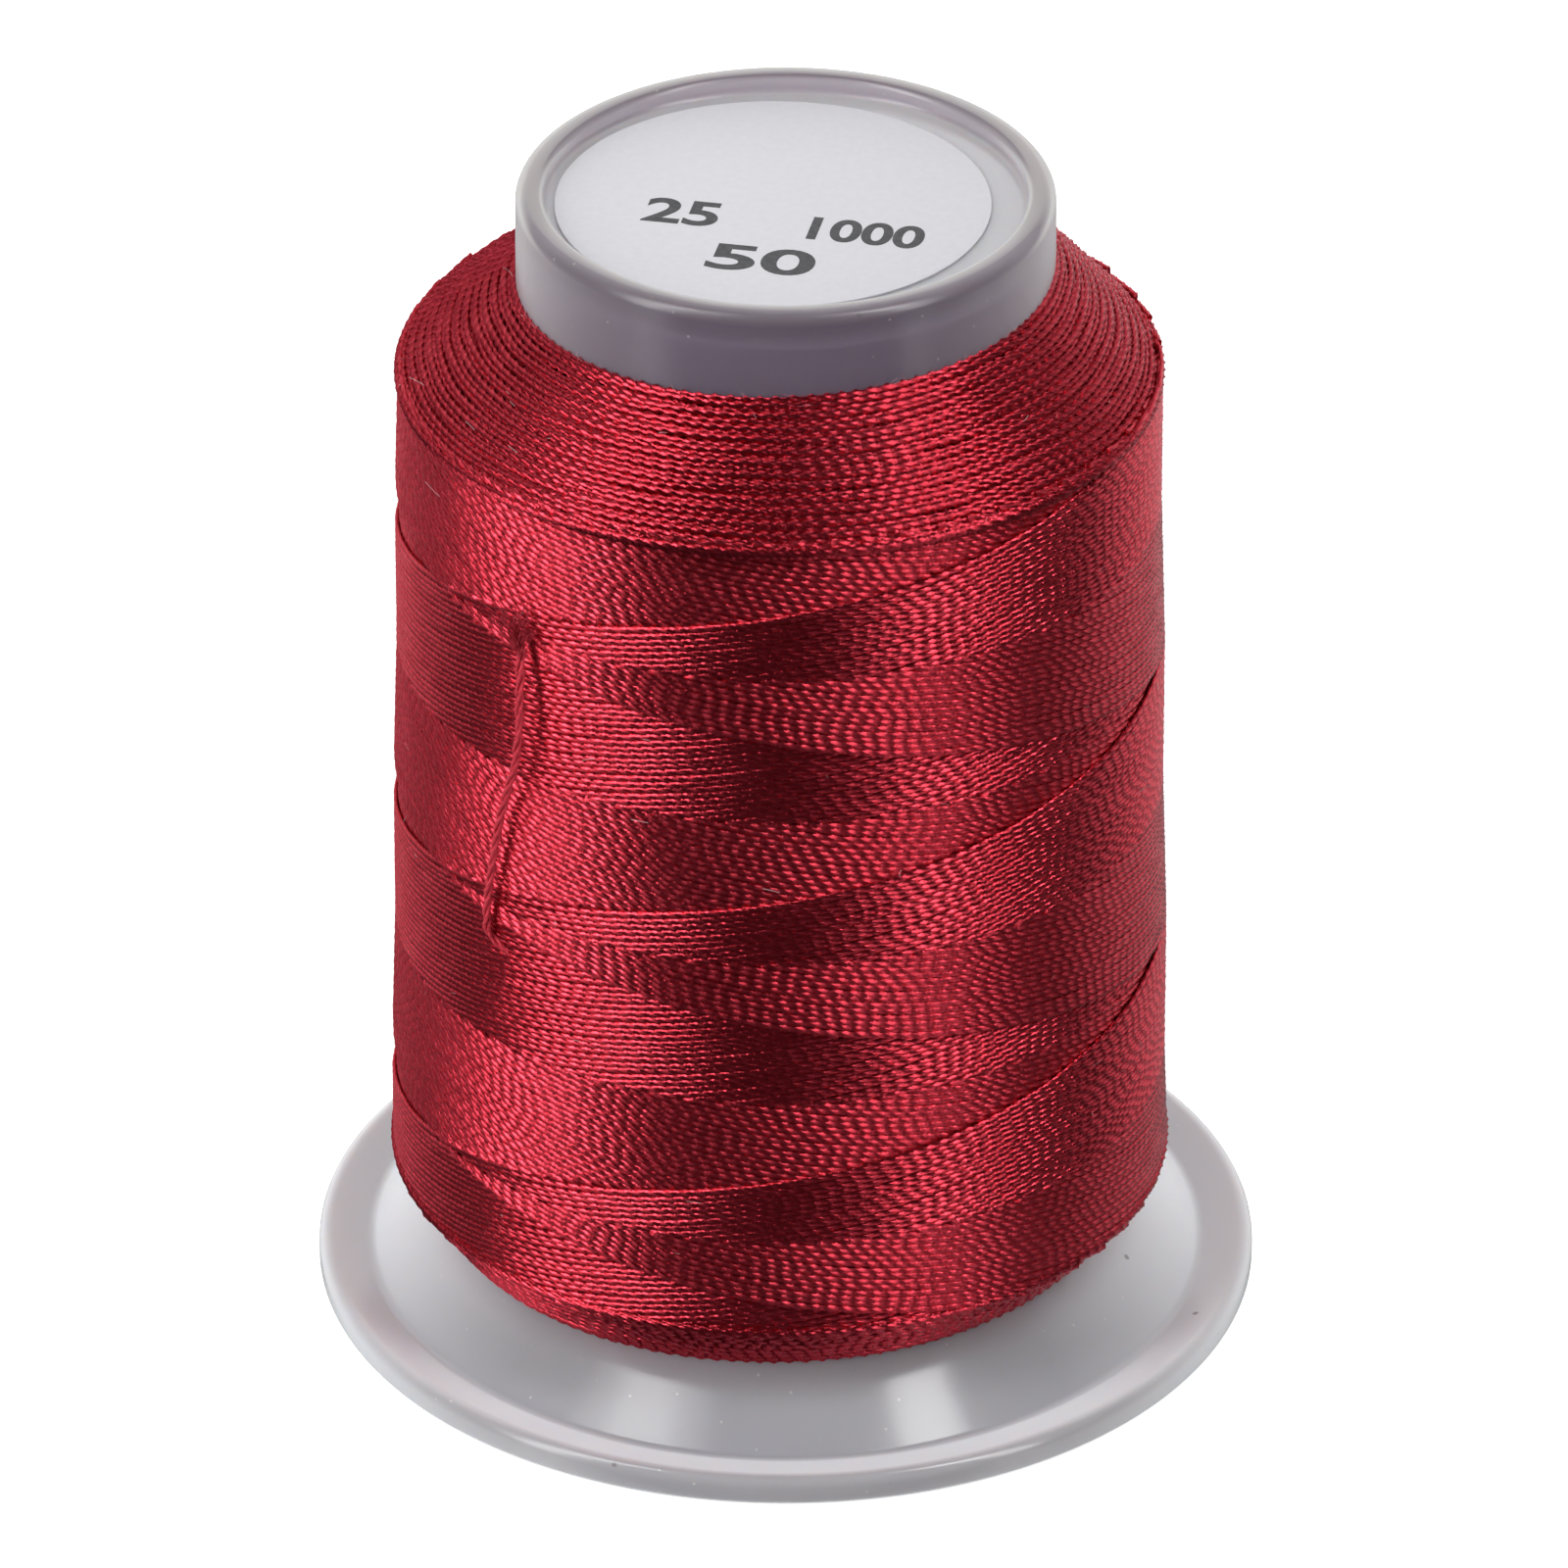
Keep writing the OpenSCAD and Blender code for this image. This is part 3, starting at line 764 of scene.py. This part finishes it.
# The free end: three plies laid round each other, frayed at the top and tucked in at the foot.
# Its route runs from the top down, as (turn in degrees, height, height over the turns).
tailSet = {"route": [(-40.3, 46.3, 0.4), (-39.4, 44.9, 0.75), (-39, 43.4, 0.95), (-39, 40.9, 1.0),
                     (-39.9, 38.9, 0.95), (-41.1, 37.8, 0.85), (-43.4, 35.2, 0.7), (-45.6, 31.7, 0.55),
                     (-46.8, 29.4, 0.4), (-47.2, 28.1, 0.22), (-46.6, 27.4, -0.05), (-44, 26.9, -0.35),
                     (-40.7, 26.5, -0.8)],
           "points": 300, "ease": 9, "plies": 3, "thick": 0.52, "lay": 0.12, "pitch": 3.4,
           "uneven": 0.25, "waver": (1.0, 9, 2), "opening": 0.6, "openOver": 3.0}
fraySet = {"count": 70, "thick": 0.14, "over": 22, "scatter": 0.16, "lengths": (0.9, 2.6),
           "lean": (0.45, 0.75, -0.1)}
fibreSet = {"points": 9, "rise": 0.2, "standOff": 0.5, "curlSide": 0.5, "curlOut": (-0.2, 0.3)}


def onWinding(turn, z, over):
    return roundAxis(bodyRadius(z) + over, turn, z)


def tailPath():
    route = np.array(tailSet["route"], float)
    t = np.linspace(0, len(route) - 1, tailSet["points"])
    turn, z, over = [np.interp(t, range(len(route)), column) for column in route.T]
    reach = tailSet["ease"]
    window = np.ones(2 * reach + 1) / (2 * reach + 1)
    turn, z, over = [np.convolve(np.pad(v, reach, mode="edge"), window, mode="valid")
                     for v in (turn, z, over)]
    return onWinding(np.radians(turn), z, over)


def layPlies(path):
    run = runAlong(path)
    forward = np.gradient(path, axis=0)
    out = path * (1, 1, 0)
    out /= np.linalg.norm(out, axis=1)[:, None]
    side = np.cross(forward, out)
    side /= np.linalg.norm(side, axis=1)[:, None]
    plies = []
    for k in range(tailSet["plies"]):
        turn = math.tau * (run / tailSet["pitch"] + k / tailSet["plies"])
        loose = 1 + tailSet["uneven"] * waver(run, *tailSet["waver"])
        loose = loose + tailSet["opening"] * smooth(1 - run / tailSet["openOver"])
        plies.append(path + (tailSet["lay"] * loose * np.cos(turn))[:, None] * out
                     + (tailSet["lay"] * loose * np.sin(turn))[:, None] * side)
    return plies


# Loose fibres: each starts at a spot and leans and curls its own way
def looseFibres(spots, lengths, spreadOut, rise, standOff=0.0):
    look = fibreSet
    fibres = []
    for spot, length in zip(spots, lengths):
        out = spot * (1, 1, 0) / np.linalg.norm(spot[:2])
        side = np.cross((0, 0, 1), out)
        lean = ((rise + rng.uniform(-look["rise"], look["rise"])) * np.array([0, 0, 1])
                + rng.uniform(-1, 1) * spreadOut * side)
        lean = lean + (standOff + rng.uniform(0.0, look["standOff"])) * out
        curl = (rng.uniform(-look["curlSide"], look["curlSide"]) * side
                + rng.uniform(*look["curlOut"]) * out)
        t = np.linspace(0, 1, look["points"])[:, None]
        fibres.append(spot + length * (t * lean + t * t * curl))
    return fibres


def makeTail():
    path = tailPath()
    sweepThreads("tucked_end", layPlies(path), looseCrimson, "thread_tail", tailSet["thick"])
    count, scatter = fraySet["count"], fraySet["scatter"]
    top = path[rng.randint(0, fraySet["over"], count)] + rng.uniform(-scatter, scatter, (count, 3))
    fibres = looseFibres(top, rng.uniform(*fraySet["lengths"], count), *fraySet["lean"])
    sweepThreads("frayed_end", fibres, looseCrimson, "thread_tail", fraySet["thick"])


makeTail()

# Fuzz: single fibres that stand off the turns and gather where the thread meets the barrel.
# Each kind is its number of fibres, the range of their lengths, their spread and their rise.
fuzzSet = {"thick": 0.045, "bodyHeights": (6, 53), "barrelR": 13.88, "barrelDown": 0.1,
           "onBody": (90, (0.4, 1.2), 1.0, 0.1), "atBarrel": (46, (0.3, 1.0), 0.8, 0.6),
           "onShoulder": (40, (0.3, 0.9), 1.0, 0.3)}


def randomTurns(kind):
    return rng.uniform(-math.pi, math.pi, fuzzSet[kind][0])


def makeFuzz():
    turn = randomTurns("onBody")
    body = onWinding(turn, rng.uniform(*fuzzSet["bodyHeights"], len(turn)), 0.0)
    turn = randomTurns("atBarrel")
    height = package["topZ"] - fuzzSet["barrelDown"]
    ring = roundAxis(fuzzSet["barrelR"], turn, np.full(len(turn), height))
    turn = randomTurns("onShoulder")
    share = rng.uniform(0, 1, len(turn))
    radius = package["topR"] + (package["shoulderR"] - package["topR"]) * share
    cone = roundAxis(radius, turn, package["topZ"] + (package["shoulderZ"] - package["topZ"]) * share)
    fibres = []
    for kind, spots in (("onBody", body), ("atBarrel", ring), ("onShoulder", cone)):
        count, lengths, spreadOut, rise = fuzzSet[kind]
        fibres += looseFibres(spots, rng.uniform(*lengths, count), spreadOut, rise)
    sweepThreads("loose_fibres", fibres, paleFibre, "outer_winding", fuzzSet["thick"])


makeFuzz()
print("tail and loose fibres made")

# Stage: a pale floor, two tall soft boxes with a second one at each, and a plain pale surround.
# Pairs named "over" are the range that something comes in over, from front to back.
stageSet = {"floorSize": 3.0, "floorDown": 0.05, "front": (0.22, 0.22, 0.22, 1),
            "back": (0.6, 0.6, 0.6, 1), "floorOver": (0.0, 0.5), "metallic": 0.9, "roughness": 0.25,
            "white": (0.9, 0.9, 0.9, 1), "glow": 0.6, "bounce": 0.45, "boxesUp": 0.03,
            "surroundOver": (0.0, 0.6), "surroundLevels": (0.01, 1.0), "backdropOver": (0.3, 0.7)}
boxes = {"left soft box": {"low": (-57, 0), "high": (-65, 70), "distance": 1.2, "width": 0.4,
                           "level": 2.5},
         "left soft box core": {"low": (-57, 0), "high": (-65, 70), "distance": 1.22, "width": 0.2,
                                "level": 4.2},
         "right soft box": {"low": (54, 8), "high": (66, 70), "distance": 1.2, "width": 0.21,
                            "level": 5.6},
         "right soft box top": {"low": (60, 48), "high": (68, 76), "distance": 1.22, "width": 0.22,
                                "level": 3.5}}


# A soft box stands along the line from its low end to its high end and faces the spool. An end
# is its turn from the front and its height, in degrees. Distances and widths are in metres.
def softBox(name, box):
    ends = []
    for turn, height in (box["low"], box["high"]):
        turn, height = math.radians(turn), math.radians(height)
        ends.append(box["distance"] * Vector((math.sin(turn) * math.cos(height),
                                              -math.cos(turn) * math.cos(height), math.sin(height))))
    middle, up = (ends[0] + ends[1]) / 2, (ends[1] - ends[0]).normalized()
    out = (middle - up * middle.dot(up)).normalized()
    lamp = bpy.data.lights.new(name, "AREA")
    lamp.shape = "RECTANGLE"
    lamp.size, lamp.size_y = box["width"], (ends[1] - ends[0]).length
    lamp.energy = box["level"] * math.pi * lamp.size * lamp.size_y
    turned = Matrix((up.cross(out), up, out)).transposed().to_4x4()
    holder = linkPiece(name, lamp)
    holder.matrix_world = Matrix.Translation(middle + Vector((0, 0, stageSet["boxesUp"]))) @ turned
    holder.visible_camera = False


# The floor is darker in front, where the room is unlit, and pale behind. It looks white itself,
# and is clear from below.
def floorMaterial():
    material, tree, shader = startMaterial("pale floor")
    behind = spread(tree, splitPlace(tree, objectPlace(tree))[1], *stageSet["floorOver"])
    setInputs(tree, shader, {"Base Color": mixColour(tree, behind, stageSet["front"], stageSet["back"]),
                             "Roughness": stageSet["roughness"], "Metallic": stageSet["metallic"]})
    seen = addNode(tree, "ShaderNodeLightPath").outputs
    share = doMath(tree, "MAXIMUM", seen["Is Camera Ray"], seen["Is Transmission Ray"])
    share = doMath(tree, "MAXIMUM", share, doMath(tree, "MULTIPLY", seen["Is Glossy Ray"], behind))
    share = doMath(tree, "MAXIMUM", share,
                   doMath(tree, "MULTIPLY", seen["Is Diffuse Ray"], stageSet["bounce"]))
    white = addNode(tree, "ShaderNodeBsdfDiffuse", {"Color": stageSet["white"]})
    glow = addNode(tree, "ShaderNodeEmission", {"Color": (1, 1, 1, 1), "Strength": stageSet["glow"]})
    both = addNode(tree, "ShaderNodeAddShader", {0: white.outputs[0], 1: glow.outputs[0]})
    mix = addNode(tree, "ShaderNodeMixShader", {0: share, 1: shader.outputs[0], 2: both.outputs[0]})
    under = addNode(tree, "ShaderNodeNewGeometry").outputs["Backfacing"]
    clear = addNode(tree, "ShaderNodeBsdfTransparent")
    mix = addNode(tree, "ShaderNodeMixShader", {0: under, 1: mix.outputs[0], 2: clear.outputs[0]})
    tree.links.new(mix.outputs[0], tree.nodes["Material Output"].inputs["Surface"])
    return material


def makeFloor():
    shape = bmesh.new()
    bmesh.ops.create_grid(shape, x_segments=1, y_segments=1, size=stageSet["floorSize"] / 2)
    bmesh.ops.translate(shape, verts=shape.verts[:], vec=(0, 0, -stageSet["floorDown"] * mm))
    floor = meshPiece("floor", shape)
    floor.data.materials.append(floorMaterial())


# The surround is pale behind and dark in front, and looks white itself
def makeWorld():
    world = bpy.data.worlds.new("surround")
    scene.world = world
    world.use_nodes = True
    tree = world.node_tree
    tree.nodes.clear()
    depth = splitPlace(tree, addNode(tree, "ShaderNodeTexCoord").outputs["Generated"])[1]
    level = spread(tree, depth, *stageSet["surroundOver"], *stageSet["surroundLevels"])
    seen = addNode(tree, "ShaderNodeLightPath").outputs
    level = doMath(tree, "MAXIMUM", level, seen["Is Camera Ray"])
    level = doMath(tree, "MAXIMUM", level, seen["Is Transmission Ray"])
    backdrop = doMath(tree, "MULTIPLY", seen["Is Glossy Ray"],
                      spread(tree, depth, *stageSet["backdropOver"]))
    level = doMath(tree, "MAXIMUM", level, backdrop)
    back = addNode(tree, "ShaderNodeBackground", {"Color": (1, 1, 1, 1), "Strength": level})
    out = addNode(tree, "ShaderNodeOutputWorld")
    tree.links.new(back.outputs[0], out.inputs["Surface"])


makeFloor()
makeWorld()
for name, box in boxes.items():
    softBox(name, box)
print("stage made")
